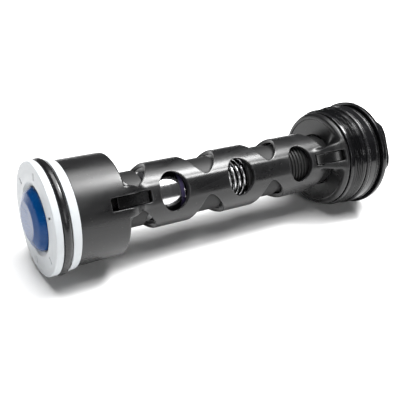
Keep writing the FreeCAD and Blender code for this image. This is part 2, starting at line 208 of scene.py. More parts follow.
def band(front, rear, inner, outer, hole=0.0, edge=0.3):
    """Outline of a plain ring, with its hole's edges rounded by hole and its outer edges by edge."""
    return [(front, inner, hole), (front, outer, edge), (rear, outer, edge), (rear, inner, hole)]


def prism(corners, width, angle, bevel=0.25):
    """Soft-edged bar with an (x, radius) side outline, that stands out along a polar angle."""
    work = bmesh.new()
    sides = [[work.verts.new((x, r, s * width / 2)) for x, r in corners] for s in (-1, 1)]
    work.faces.new(sides[0][::-1])
    work.faces.new(sides[1])
    for i in range(len(corners)):
        j = (i + 1) % len(corners)
        work.faces.new((sides[0][i], sides[0][j], sides[1][j], sides[1][i]))
    bmesh.ops.recalc_face_normals(work, faces=work.faces)
    bmesh.ops.bevel(work, geom=work.edges, offset=bevel, offset_type="OFFSET", segments=3, profile=0.5,
                    affect="EDGES", clamp_overlap=True)
    work.verts.index_update()
    c, s = math.cos(angle), math.sin(angle)
    points = np.array([(v.co.x, v.co.y * c - v.co.z * s, v.co.y * s + v.co.z * c) for v in work.verts])
    faces = [[v.index for v in f.verts] for f in work.faces]
    work.free()
    return points, faces, np.zeros(len(points))


def gathered(*parts):
    """One set of points, faces and edge weights out of several."""
    points, faces, edges, start = [], [], [], 0
    for p, f, e in parts:
        points.append(p)
        edges.append(e)
        faces += [[v + start for v in face] for face in f]
        start += len(p)
    return np.concatenate(points), faces, np.concatenate(edges)


def finished(piece, node, body, material):
    """Gives a piece its material and puts it in the place of its CAD node."""
    piece.data.materials.clear()
    piece.data.materials.append(material)
    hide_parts(node)
    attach(piece, body)
    return piece


def turned_piece(name, node_name, body, slot, kind, outline, segments=144, **shape):
    """Finished piece from an outline turned about the axis."""
    piece = mesh_object(name, *lathe(outline, segments, **shape))
    return finished(piece, node_name, body, material(kind))


# ---- Rounded solids as distance fields -------------------------------------------------------------------
class OutlineField:
    """Distance to a closed (x, radius) outline, negative inside, read from a fine grid."""

    def __init__(self, outline, step=0.1, margin=3.0):
        line, _ = rounded(outline, 6)
        self.step, self.start = step, line.min(0) - margin
        shape = np.ceil((line.max(0) + margin - self.start) / step).astype(int) + 1
        x, r = np.meshgrid(*[self.start[i] + step * np.arange(shape[i]) for i in (0, 1)], indexing="ij")
        nearest, inside = np.full(x.shape, 1e9), np.zeros(x.shape, bool)
        for a, b in zip(line, np.roll(line, -1, 0)):
            d = b - a
            if d @ d < 1e-12:
                continue
            t = np.clip(((x - a[0]) * d[0] + (r - a[1]) * d[1]) / (d @ d), 0, 1)
            nearest = np.minimum(nearest, (x - a[0] - t * d[0]) ** 2 + (r - a[1] - t * d[1]) ** 2)
            if a[1] != b[1]:
                inside ^= ((r < a[1]) != (r < b[1])) & (x < a[0] + (r - a[1]) * d[0] / d[1])
        self.grid = np.where(inside, -1, 1) * np.sqrt(nearest)

    def __call__(self, x, r):
        u = np.clip((x - self.start[0]) / self.step, 0, self.grid.shape[0] - 1.001)
        v = np.clip((r - self.start[1]) / self.step, 0, self.grid.shape[1] - 1.001)
        i, j = u.astype(int), v.astype(int)
        u, v, g = u - i, v - j, self.grid
        near = g[i, j] * (1 - v) + g[i, j + 1] * v
        return near * (1 - u) + (g[i + 1, j] * (1 - v) + g[i + 1, j + 1] * v) * u


def joined(a, b, blend):
    """Union of two fields with a soft inner corner."""
    close = np.maximum(blend - np.abs(a - b), 0) / blend
    return np.minimum(a, b) - close * close * blend / 4


def common(a, b, rounding):
    """Intersection of two fields with a rounded outer edge."""
    corner = np.hypot(np.maximum(a + rounding, 0), np.maximum(b + rounding, 0))
    return np.minimum(-rounding, np.maximum(a, b)) + corner


def field_surface(name, field, grids, place, closed=False, relax=2):
    """Object on the zero surface of a field, over three even ranges that place() turns into points."""
    steps = [g[1] - g[0] for g in grids]
    spots = np.meshgrid(*grids, indexing="ij")
    value = field(place(*spots).reshape(-1, 3)).reshape(spots[0].shape)
    if closed:
        value = np.concatenate((value, value[:, :1]), 1)
    inside = value < 0
    cells = tuple(n - 1 for n in value.shape)
    corners = [(i, j, k) for i in (0, 1) for j in (0, 1) for k in (0, 1)]
    count = sum(inside[i:cells[0] + i, j:cells[1] + j, k:cells[2] + k].astype(np.int8) for i, j, k in corners)
    cell = np.argwhere((count > 0) & (count < 8))
    total, hits = np.zeros((len(cell), 3)), np.zeros(len(cell))
    for corner in corners:
        for axis in range(3):
            if corner[axis]:
                continue
            a = value[tuple((cell + corner).T)]
            unit = np.eye(3, dtype=int)[axis]
            b = value[tuple((cell + corner + unit).T)]
            cross = (a < 0) != (b < 0)
            t = np.where(cross, a / np.where(cross, a - b, 1), 0)
            total += cross[:, None] * (np.array(corner) + t[:, None] * unit)
            hits += cross
    local = cell + total / hits[:, None]
    points = place(*[grids[i][0] + steps[i] * local[:, i] for i in range(3)])
    number = np.full(cells, -1)
    number[tuple(cell.T)] = np.arange(len(cell))
    faces = []
    for axis in range(3):
        b, c = [i for i in range(3) if i != axis]
        unit = np.eye(3, dtype=int)[axis]
        first, second = [slice(None)] * 3, [slice(None)] * 3
        first[axis], second[axis] = slice(None, -1), slice(1, None)
        change = np.argwhere(inside[tuple(first)] != inside[tuple(second)])
        around = []
        for db, dc in ((-1, -1), (0, -1), (0, 0), (-1, 0)):
            spot = change.copy()
            spot[:, b] += db
            spot[:, c] += dc
            around.append(spot)
        around = np.stack(around, 1)
        if closed:
            around = around[change[:, 1] < cells[1]]
            around[..., 1] %= cells[1]
        good = ((around >= 0) & (around < np.array(cells))).all((1, 2))
        around = around[good]
        quad = number[tuple(np.moveaxis(around, -1, 0))]
        faces.append(quad[(quad >= 0).all(1)])
    faces = np.concatenate(faces)

    def slope(p, reach=0.03):
        g = np.stack([field(p + reach * e) - field(p - reach * e) for e in np.eye(3)], 1)
        return g / np.maximum(np.linalg.norm(g, axis=1, keepdims=True), 1e-9)

    def settle(p, times):
        for _ in range(times):
            p = p - np.clip(field(p), -0.4, 0.4)[:, None] * slope(p)
        return p

    points = settle(points, 2)
    for _ in range(relax):
        total, hits = np.zeros_like(points), np.zeros(len(points))
        for i in range(4):
            for j in (i - 1, (i + 1) % 4):
                np.add.at(total, faces[:, i], points[faces[:, j]])
                np.add.at(hits, faces[:, i], 1)
        points = settle(points * 0.5 + total / np.maximum(hits, 1)[:, None] * 0.5, 1)
    points = settle(points, 2)
    normals = slope(points)
    across = np.cross(points[faces[:, 2]] - points[faces[:, 0]], points[faces[:, 3]] - points[faces[:, 1]])
    wrong = (across * normals[faces].sum(1)).sum(1) < 0
    faces[wrong] = faces[wrong][:, ::-1]
    bend = sum(field(points + 0.35 * s * e) for e in np.eye(3) for s in (-1, 1)) / 0.35 ** 2
    mesh = bpy.data.meshes.new(name)
    mesh.from_pydata((points * MM).tolist(), [], faces.tolist())
    mark = mesh.attributes.new("edge", "FLOAT", "POINT")
    mark.data.foreach_set("value", np.clip((bend - 0.5) / 1.6, 0, 1).astype(np.float32))
    mesh.shade_smooth()
    mesh.normals_split_custom_set_from_vertices(normals.tolist())
    piece = bpy.data.objects.new(name, mesh)
    bpy.context.scene.collection.objects.link(piece)
    return piece


def folded(angle, first, period=math.pi):
    """Angle from the nearest of the directions that start at first and come back after each period."""
    return (angle - first + period / 2) % period - period / 2


def in_turns(x, angle, r):
    return np.stack((x, r * np.cos(angle), r * np.sin(angle)), -1)


def in_blocks(x, y, z):
    return np.stack((x, y, z), -1)


# ---- Shader groups ---------------------------------------------------------------------------------------
def new_group(name, inputs, outputs):
    """Empty shader group with float inputs (name, default) and named float outputs."""
    group = bpy.data.node_groups.new(name, "ShaderNodeTree")
    kind = "NodeSocketFloat"
    for label, value in inputs:
        group.interface.new_socket(name=label, in_out="INPUT", socket_type=kind).default_value = value
    for label in outputs:
        group.interface.new_socket(name=label, in_out="OUTPUT", socket_type=kind)
    return group, group.nodes.new("NodeGroupInput"), group.nodes.new("NodeGroupOutput")


def node(tree, kind, inputs=None, **settings):
    """Adds a node, sets its fields, and sets or links its inputs."""
    made = tree.nodes.new("ShaderNode" + kind)
    for key, value in settings.items():
        setattr(made, key, value)
    for key, value in (inputs or {}).items():
        if isinstance(value, bpy.types.NodeSocket):
            tree.links.new(value, made.inputs[key])
        else:
            made.inputs[key].default_value = value
    return made


def ramp(tree, value, low, high, to_low=0.0, to_high=1.0):
    """Clamped change of range."""
    made = node(tree, "MapRange", {0: value, 1: low, 2: high, 3: to_low, 4: to_high})
    return made.outputs[0]


def math_node(tree, operation, a, b=0.0):
    return node(tree, "Math", {0: a, 1: b}, operation=operation).outputs[0]


def grain_group():
    """Moulded surface: fine grain, and slow mottling drawn out along the flow of the plastic."""
    group, given, out = new_group("moulded grain", (("Grain", 1500.0), ("Flow", 90.0)), ("Height", "Mottle"))
    place = node(group, "TexCoord").outputs["Object"]
    fine = node(group, "TexNoise", {"Vector": place, "Scale": given.outputs[0], "Detail": 3.0,
                                    "Roughness": 0.6})
    drawn = node(group, "Mapping", {"Vector": place, "Scale": (0.35, 1.0, 1.0)})
    slow = node(group, "TexNoise", {"Vector": drawn.outputs[0], "Scale": given.outputs[1], "Detail": 4.0,
                                    "Roughness": 0.62, "Distortion": 0.8})
    group.links.new(fine.outputs[0], out.inputs[0])
    group.links.new(slow.outputs[0], out.inputs[1])
    return group


def wear_group():
    """Rubbed edges: the edge weight of the mesh, broken up by noise."""
    group, given, out = new_group("rubbed edges", (("Amount", 0.5), ("Break-up", 600.0)), ("Mask",))
    place = node(group, "TexCoord").outputs["Object"]
    edge = node(group, "Attribute", attribute_name="edge").outputs["Fac"]
    noise = node(group, "TexNoise", {"Vector": place, "Scale": given.outputs[1], "Detail": 4.0}).outputs[0]
    broken = math_node(group, "MULTIPLY", edge, ramp(group, noise, 0.38, 0.62, 0.15, 1.0))
    group.links.new(math_node(group, "MULTIPLY", broken, given.outputs[0]), out.inputs[0])
    return group


def turning_group():
    """Rings left by turning or by a turned mould, along the axis and across faces."""
    group, given, out = new_group("turning marks", (("Rings", 4000.0),), ("Height", "Streak"))
    place = node(group, "TexCoord").outputs["Object"]
    parts = node(group, "SeparateXYZ", {0: place}).outputs
    square = math_node(group, "ADD", math_node(group, "MULTIPLY", parts[1], parts[1]),
                       math_node(group, "MULTIPLY", parts[2], parts[2]))
    radius = math_node(group, "SQRT", square)
    flat = node(group, "CombineXYZ", {0: parts[0], 1: radius}).outputs[0]
    rings = node(group, "TexNoise", {"Vector": flat, "Scale": given.outputs[0], "Detail": 2.0})
    coarse = math_node(group, "MULTIPLY", given.outputs[0], 0.12)
    broad = node(group, "TexNoise", {"Vector": flat, "Scale": coarse, "Detail": 3.0})
    group.links.new(rings.outputs[0], out.inputs[0])
    group.links.new(broad.outputs[0], out.inputs[1])
    return group


def handling_group():
    """Handling marks: hairline scratches, and small specks of dust."""
    inputs = (("Scratches", 0.5), ("Specks", 0.5))
    group, given, out = new_group("handling marks", inputs, ("Scratch", "Speck"))
    place = node(group, "TexCoord").outputs["Object"]
    lines = 0.0
    for turn, drawn in (((0.3, 0.9, 0.2), (25.0, 900.0, 900.0)), ((1.1, 0.2, 0.7), (700.0, 22.0, 700.0))):
        turned = node(group, "Mapping", {"Vector": place, "Rotation": turn, "Scale": drawn}).outputs[0]
        noise = node(group, "TexNoise", {"Vector": turned, "Scale": 1.0, "Detail": 1.0}).outputs[0]
        lines = math_node(group, "MAXIMUM", ramp(group, noise, 0.70, 0.76), lines)
    patch = ramp(group, node(group, "TexNoise", {"Vector": place, "Scale": 60.0}).outputs[0], 0.45, 0.65)
    scratch = math_node(group, "MULTIPLY", math_node(group, "MULTIPLY", lines, patch), given.outputs[0])
    dots = node(group, "TexVoronoi", {"Vector": place, "Scale": 520.0}).outputs["Distance"]
    spread = ramp(group, node(group, "TexNoise", {"Vector": place, "Scale": 210.0}).outputs[0], 0.56, 0.60)
    speck = math_node(group, "MULTIPLY", math_node(group, "MULTIPLY", ramp(group, dots, 0.16, 0.08), spread),
                      given.outputs[1])
    group.links.new(scratch, out.inputs[0])
    group.links.new(speck, out.inputs[1])
    return group


GROUPS = {}


def placed(tree, kind, **values):
    """Puts one of the shared groups in a material with its own values."""
    makers = {"grain": grain_group, "wear": wear_group, "turning": turning_group, "handling": handling_group}
    if kind not in GROUPS:
        GROUPS[kind] = makers[kind]()
    made = tree.nodes.new("ShaderNodeGroup")
    made.node_tree = GROUPS[kind]
    for key, value in values.items():
        made.inputs[key].default_value = value
    return made.outputs


def mixed(tree, amount, a, b):
    """Mix of two colours; each may be a triple or a socket."""
    made = tree.nodes.new("ShaderNodeMix")
    made.data_type = "RGBA"
    for socket, value in ((made.inputs[0], amount), (made.inputs[6], a), (made.inputs[7], b)):
        if isinstance(value, bpy.types.NodeSocket):
            tree.links.new(value, socket)
        else:
            socket.default_value = value if isinstance(value, float) else (*value, 1.0)
    return made.outputs[2]


def new_material(name, **fixed):
    """Material with one Principled shader, and its even values set on the shader's own sockets."""
    material = bpy.data.materials.new(name)
    material.use_nodes = True
    tree = material.node_tree
    shader = tree.nodes["Principled BSDF"]
    for key, value in fixed.items():
        shader.inputs[key.replace("_", " ")].default_value = value
    return material, tree, shader


def bump(tree, shader, height, strength, distance):
    made = node(tree, "Bump", {"Height": height, "Strength": strength, "Distance": distance})
    tree.links.new(made.outputs[0], shader.inputs["Normal"])
    return made


def moulded_black(name, base, rough, grain=1500.0, relief=0.00005, flow=90.0, pale=(0.05, 0.05, 0.052),
                  wear=0.5, shine=0.4):
    """Black moulded plastic with grain, flow mottling, rubbed edges and a few hairlines."""
    material, tree, shader = new_material(name, Specular_IOR_Level=shine)
    grained = placed(tree, "grain", Grain=grain, Flow=flow)
    worn = placed(tree, "wear", Amount=wear)[0]
    marks = placed(tree, "handling", Scratches=0.35, Specks=0.5)
    mottled = mixed(tree, ramp(tree, grained["Mottle"], 0.35, 0.7), tuple(c * 0.75 for c in base),
                    tuple(c * 1.45 for c in base))
    tinted = mixed(tree, worn, mottled, pale)
    dusty = mixed(tree, math_node(tree, "MULTIPLY", marks["Speck"], 0.35), tinted, (0.30, 0.29, 0.27))
    tree.links.new(dusty, shader.inputs["Base Color"])
    varied = ramp(tree, grained["Mottle"], 0.3, 0.7, rough - 0.06, rough + 0.07)
    varied = math_node(tree, "ADD", varied, math_node(tree, "MULTIPLY", marks["Scratch"], 0.15))
    tree.links.new(varied, shader.inputs["Roughness"])
    height = math_node(tree, "ADD", grained["Height"], math_node(tree, "MULTIPLY", grained["Mottle"], 1.5))
    height = math_node(tree, "SUBTRACT", height, math_node(tree, "MULTIPLY", marks["Scratch"], 0.5))
    bump(tree, shader, height, 0.35, relief)
    return material


def cage_nylon():
    settings = bpy.context.scene.valve_cage
    return moulded_black("glass_filled_nylon", tuple(settings.plastic), 0.30, relief=0.00004)


def guide_nylon_painted_shade():
    """Nylon at half the cage's colour, as painted shade for parts deep in the tube; dull where it runs inside
    the tube, glossier out where the fingers stand in the windows.
    """
    settings = bpy.context.scene.valve_cage
    # Half the cage nylon's colour, and a darker edge colour: painted shade for the guide parts that sit in the
    # dark inside the tube.
    base = tuple(c * 0.5 for c in settings.plastic)
    made = moulded_black("guide_nylon_painted_shade", base, 0.55, pale=(0.02, 0.02, 0.021), shine=0.35)
    tree = made.node_tree
    shader = tree.nodes["Principled BSDF"]
    parts = node(tree, "SeparateXYZ", {0: node(tree, "TexCoord").outputs["Object"]}).outputs
    radius = math_node(tree, "SQRT", math_node(tree, "ADD", math_node(tree, "MULTIPLY", parts[1], parts[1]),
                                               math_node(tree, "MULTIPLY", parts[2], parts[2])))
    dull = shader.inputs["Roughness"].links[0].from_socket
    rough = math_node(tree, "SUBTRACT", dull, ramp(tree, radius, 0.0160, 0.0166, 0.0, 0.3))
    tree.links.new(rough, shader.inputs["Roughness"])
    return made


def cap_plastic():
    settings = bpy.context.scene.valve_cap
    return moulded_black("glossy_cap_plastic", tuple(settings.plastic), 0.15, grain=2200.0, relief=0.000008,
                         flow=60.0, wear=0.3, shine=0.35)


def ring_rubber():
    """Rubber with a soft sheen, bloom and a fine moulded grain."""
    settings = bpy.context.scene.valve_nose
    base = tuple(settings.rubber)
    material, tree, shader = new_material("seal_rubber", Specular_IOR_Level=0.45)
    grained = placed(tree, "grain", Grain=2600.0, Flow=160.0)
    marks = placed(tree, "handling", Scratches=0.2, Specks=0.9)
    bloom = mixed(tree, ramp(tree, grained["Mottle"], 0.45, 0.8), base, tuple(c * 2.6 for c in base))
    dusty = mixed(tree, math_node(tree, "MULTIPLY", marks["Speck"], 0.45), bloom, (0.30, 0.29, 0.27))
    tree.links.new(dusty, shader.inputs["Base Color"])
    tree.links.new(ramp(tree, grained["Mottle"], 0.3, 0.7, 0.20, 0.32), shader.inputs["Roughness"])
    bump(tree, shader, grained["Height"], 0.3, 0.00002)
    return material


def seat_plastic():
    """White acetal with faint turning rings and slight soiling in its pores."""
    settings = bpy.context.scene.valve_nose
    base = tuple(settings.seat_white)
    material, tree, shader = new_material("white_seat_plastic", Subsurface_Weight=0.12,
                                          Subsurface_Scale=0.002)
    shader.inputs["Subsurface Radius"].default_value = (1.0, 0.9, 0.8)
    rings = placed(tree, "turning", Rings=3200.0)
    grained = placed(tree, "grain", Grain=1400.0, Flow=120.0)
    marks = placed(tree, "handling", Scratches=0.5, Specks=0.5)
    shade = mixed(tree, ramp(tree, grained["Mottle"], 0.3, 0.75), tuple(c * 0.93 for c in base), base)
    soiled = mixed(tree, math_node(tree, "MULTIPLY", marks["Speck"], 0.4), shade, (0.22, 0.21, 0.20))
    scuffed = mixed(tree, math_node(tree, "MULTIPLY", marks["Scratch"], 0.35), soiled, (0.50, 0.50, 0.50))
    tree.links.new(scuffed, shader.inputs["Base Color"])
    tree.links.new(ramp(tree, rings["Streak"], 0.3, 0.7, 0.34, 0.46), shader.inputs["Roughness"])
    bump(tree, shader, rings["Height"], 0.25, 0.00003)
    return material


def poppet_plastic():
    """Deep blue glossy plastic with faint flow lines and hairlines."""
    settings = bpy.context.scene.valve_nose
    base = tuple(settings.poppet_blue)
    material, tree, shader = new_material("blue_poppet_plastic", Coat_Roughness=0.06, Specular_IOR_Level=0.16)
    grained = placed(tree, "grain", Grain=900.0, Flow=70.0)
    marks = placed(tree, "handling", Scratches=0.8, Specks=0.5)
    worn = placed(tree, "wear", Amount=0.45)[0]
    deep = mixed(tree, ramp(tree, grained["Mottle"], 0.3, 0.72), tuple(c * 0.8 for c in base),
                 tuple(c * 1.15 for c in base))
    rubbed = mixed(tree, worn, deep, (0.01, 0.14, 0.45))
    dusty = mixed(tree, math_node(tree, "MULTIPLY", marks["Speck"], 0.4), rubbed, (0.35, 0.40, 0.48))
    tree.links.new(dusty, shader.inputs["Base Color"])
    rough = math_node(tree, "ADD", ramp(tree, grained["Mottle"], 0.3, 0.7, 0.20, 0.30),
                      math_node(tree, "MULTIPLY", marks["Scratch"], 0.25))
    tree.links.new(rough, shader.inputs["Roughness"])
    shader.inputs["Coat Weight"].default_value = 0.03
    bump(tree, shader, grained["Height"], 0.2, 0.00002)
    return material


def bright_steel(name, base, low, high, rings=3600.0, relief=0.00002, tarnish=(0.30, 0.25, 0.20)):
    """Steel with turning or drawing marks, uneven polish and a trace of tarnish."""
    material, tree, shader = new_material(name, Metallic=1.0)
    turned = placed(tree, "turning", Rings=rings)
    grained = placed(tree, "grain", Grain=700.0, Flow=200.0)
    marks = placed(tree, "handling", Scratches=0.7, Specks=0.3)
    streaked = mixed(tree, ramp(tree, turned["Streak"], 0.3, 0.7), tuple(c * 0.86 for c in base), base)
    aged = mixed(tree, ramp(tree, grained["Mottle"], 0.62, 0.85, 0.0, 0.5), streaked, tarnish)
    tree.links.new(aged, shader.inputs["Base Color"])
    rough = math_node(tree, "ADD", ramp(tree, turned["Streak"], 0.25, 0.75, low, high),
                      math_node(tree, "MULTIPLY", marks["Scratch"], 0.2))
    tree.links.new(rough, shader.inputs["Roughness"])
    bump(tree, shader, turned["Height"], 0.3, relief)
    return material


def polished_steel():
    return bright_steel("polished_steel", tuple(bpy.context.scene.valve_spring.steel), 0.10, 0.22)


def spring_steel():
    steel = bpy.context.scene.valve_spring.steel
    return bright_steel("drawn_spring_steel", tuple(c * 0.95 for c in steel), 0.16, 0.32, rings=2400.0)


def plated_steel():
    return bright_steel("zinc_plated_steel", (0.60, 0.60, 0.57), 0.28, 0.45, rings=1500.0,
                        tarnish=(0.34, 0.33, 0.30))


def bearing_bronze():
    return bright_steel("sintered_bronze", (0.55, 0.34, 0.14), 0.35, 0.55, rings=900.0, relief=0.00004,
                        tarnish=(0.22, 0.12, 0.05))


def ring_ptfe():
    """Dark violet filled PTFE with turning rings."""
    material, tree, shader = new_material("filled_ptfe")
    turned = placed(tree, "turning", Rings=2600.0)
    grained = placed(tree, "grain", Grain=1200.0, Flow=260.0)
    tint = mixed(tree, ramp(tree, grained["Mottle"], 0.35, 0.7), (0.020, 0.016, 0.045), (0.045, 0.036, 0.085))
    tree.links.new(tint, shader.inputs["Base Color"])
    tree.links.new(ramp(tree, turned["Streak"], 0.3, 0.7, 0.26, 0.42), shader.inputs["Roughness"])
    bump(tree, shader, turned["Height"], 0.25, 0.00002)
    return material


MATERIAL_MAKERS = {
    "cage": cage_nylon, "guide": guide_nylon_painted_shade, "cap": cap_plastic, "rubber": ring_rubber, "seat": seat_plastic,
    "poppet": poppet_plastic, "polished": polished_steel, "spring": spring_steel, "plated": plated_steel,
    "bronze": bearing_bronze, "ptfe": ring_ptfe,
}
MATERIALS = {}


def material(kind):
    """One of the valve's materials, made the first time that it is asked for."""
    if kind not in MATERIALS:
        MATERIALS[kind] = MATERIAL_MAKERS[kind]()
    return MATERIALS[kind]


# ---- Cage ------------------------------------------------------------------------------------------------
TUBE_R, TUBE_BORE = 18.75, 16.0
RING_PITCH = 22.3
NARROW_PORT = (8.8, 10.9)           # half length, half width
WIDE_PORT = (9.5, 13.5)             # reach to the front and to the rear
LAST_PORT = (8.5, 9.5)
WIDE_REACH = math.sin(math.radians(70.5))


class VALVE_OT_cage(bpy.types.Operator):
    """Moulded cage: cup, tube with seven rings of ports, slotted arms and end disc"""

    bl_idname = "valve.cage"
    bl_label = "Cage"

    def execute(self, context):
        settings = context.scene.valve_cage
        rim, blend = settings.port_rim / MM, settings.arm_blend / MM
        front, rear, disc = extent("cage")
        cup = 28.5
        cup_rear = front + 27.3
        outline = OutlineField([
            (front, cup - 3.0, 0.4), (front, cup, 0.5), (cup_rear, cup, 1.2), (cup_rear, TUBE_R, 1.6),
            (rear - 8.0, TUBE_R, 3.0), (rear - 4.1, 21.5, 3.0), (rear - 2.9, disc - 1.2, 1.5),
            (rear - 1.4, disc, 0.8), (rear, disc, 0.3), (rear, TUBE_BORE), (cup_rear - 2.6, TUBE_BORE, 0.6),
            (cup_rear - 2.6, cup - 3.0, 1.5),
        ])
        t = np.linspace(0, 1, 60)
        ease = t * t * (3 - 2 * t)
        arms = []
        for x_high, r_high, x_low, start in ((cup_rear - 1.0, cup, front + 46.4, -1),
                                             (rear - 1.9, disc - 1.6, rear - 21.0, 1)):
            middle = (x_high + x_low) / 2
            x = x_high * (1 - t) ** 3 + 3 * middle * (t * (1 - t) ** 2 + t * t * (1 - t)) + x_low * t ** 3
            r = r_high + (TUBE_R - 1.4 - r_high) * ease
            tilt = np.sqrt(1 + np.gradient(r, x) ** 2)
            order = np.argsort(x)
            arms.append((x[order], r[order], tilt[order], x_high, start))
        spread = math.radians(18.0)
        rings = []
        for number in range(1, 8):
            size = LAST_PORT if number == 7 else (WIDE_PORT if number % 2 else NARROW_PORT)
            rings.append((front + 37.0 + RING_PITCH * (number - 1), *size, number))
        windows = ((front + 17.7, front + 44.9), (rear - 17.3, rear - 2.3))

        def field(p):
            x, y, z = p.T
            r, angle = np.hypot(y, z), np.arctan2(z, y)
            even, odd = folded(angle, ARM_ANGLE), folded(angle, ARM_ANGLE + QUARTER)
            solid = outline(x, r)
            for xs, rs, tilts, x_high, start in arms:
                top = (r - np.interp(x, xs, rs)) / np.interp(x, xs, tilts)
                side = r * np.sin(np.abs(even) - spread)
                arm = common(top, side, 1.3)
                arm = np.maximum(arm, TUBE_BORE + 0.8 - r)
                arm = np.maximum(arm, start * (x - x_high))
                fade = np.clip((cup - 0.3 - r) / 2.5, 0, 1) if start < 0 else 1.0
                solid = joined(solid, arm, 0.02 + blend * fade)
            for ring_x, first, second, number in rings:
                if number % 2:
                    half_x = np.where(x < ring_x, first, second)
                    v, v_slope = np.sin(odd) / WIDE_REACH, np.cos(odd) / WIDE_REACH / r
                else:
                    half_x = first
                    v, v_slope = r * np.sin(even) / second, 1 / second
                u = (x - ring_x) / half_x
                far = np.hypot(u, v) + 1e-9
                oval = far * (far - 1) / np.maximum(np.hypot(u / half_x, v * v_slope), 1e-3)
                oval = np.maximum(oval, np.minimum(oval, 0) + (8.0 - r))
                if number == 7:
                    oval = common(oval, x - rear + 2.8, 0.8)
                    oval = np.maximum(oval, r - 26.5)
                solid = common(solid, -oval, rim)
            across = r * np.sin(even)
            for x_start, x_end in windows:
                u = np.abs(x - (x_start + x_end) / 2) - (x_end - x_start) / 2 + 0.7
                v = np.abs(across) - 3.35 + 0.7
                slot = np.hypot(np.maximum(u, 0), np.maximum(v, 0)) + np.minimum(np.maximum(u, v), 0) - 0.7
                slot = np.maximum(slot, 13.0 - r)
                solid = common(solid, -slot, rim)
            return solid

        step = 0.66
        grids = (np.arange(front - 1.3, rear + 1.4, step), np.arange(192) * 2 * math.pi / 192,
                 np.arange(TUBE_BORE - 1.4, disc + 1.4, step))
        piece = field_surface("port_cage", field, grids, in_turns, closed=True)
        finished(piece, "cage", "valve_body", material("cage"))
        return {"FINISHED"}


# ---- Nose ------------------------------------------------------------------------------------------------
class VALVE_OT_nose(bpy.types.Operator):
    """White seat ring with its key slots, and the rubber ring in its groove"""

    bl_idname = "valve.nose"
    bl_label = "Seat ring and seal"

    def execute(self, context):
        front, rear, outer = extent("seat_ring")
        ring_front, ring_rear, ring_outer = extent("seat_o_ring")
        section = (ring_rear - ring_front) / 2
        middle = (ring_front + ring_rear) / 2
        groove_r = ring_outer - 2 * section - 0.05
        sleeve = 25.45
        points = lathe([
            (front, 19.6, 0.2), (front, 22.2), (front, 26.8), (front, outer, 0.7),
            (middle - section - 0.1, outer, 0.3), (middle - section - 0.1, groove_r, 0.4),
            (middle + section + 0.1, groove_r, 0.4), (middle + section + 0.1, outer - 0.5, 0.3),
            (front + 13.7, outer - 1.1, 0.5), (front + 13.7, sleeve), (rear, sleeve, 0.5), (rear, 23.2, 0.4),
            (front + 7.0, 23.2, 0.4), (front + 7.0, 17.2, 0.4), (front + 2.0, 17.2, 0.6),
        ], 240)
        seat = mesh_object("white_seat_ring", *points)
        slots = []
        for i in range(6):
            angle = ARM_ANGLE + SIXTH * i
            corners = [(front - 1.0, 22.4), (front + 0.8, 22.4), (front + 0.8, 26.6), (front - 1.0, 26.6)]
            slots.append(prism(corners, 1.3, angle, 0.12))
        cutter = mesh_object("key_slots", *gathered(*slots))
        cut = seat.modifiers.new("key slots", "BOOLEAN")
        cut.operation, cut.object, cut.solver = "DIFFERENCE", cutter, "EXACT"
        seat.modifiers.move(1, 0)
        bpy.context.view_layer.update()
        ready = bpy.data.meshes.new_from_object(seat.evaluated_get(context.evaluated_depsgraph_get()))
        seat.modifiers.clear()
        seat.data = ready
        bpy.data.objects.remove(cutter)
        finished(seat, "seat_ring", "valve_body", material("seat"))
        rubber = rubber_ring("nose_o_ring", "seat_o_ring", 40)
        finished(rubber, "seat_o_ring", "valve_body", material("rubber"))
        return {"FINISHED"}


def rubber_ring(name, node_name, around=24, segments=220):
    """O-ring with the faint flash line of its mould at the inner and outer diameter."""
    front, rear, outer = extent(node_name)
    section, x = (rear - front) / 2, (front + rear) / 2
    turn = np.linspace(0, 2 * math.pi, around, endpoint=False)
    flash = 1 + 0.02 * np.exp(-((np.sin(turn)) ** 2) / 0.004)
    outline = [(x + section * f * math.sin(a), outer - section + section * min(f, 1.0) * math.cos(a))
               for a, f in zip(turn, flash)]
    return mesh_object(name, *lathe(outline, segments))


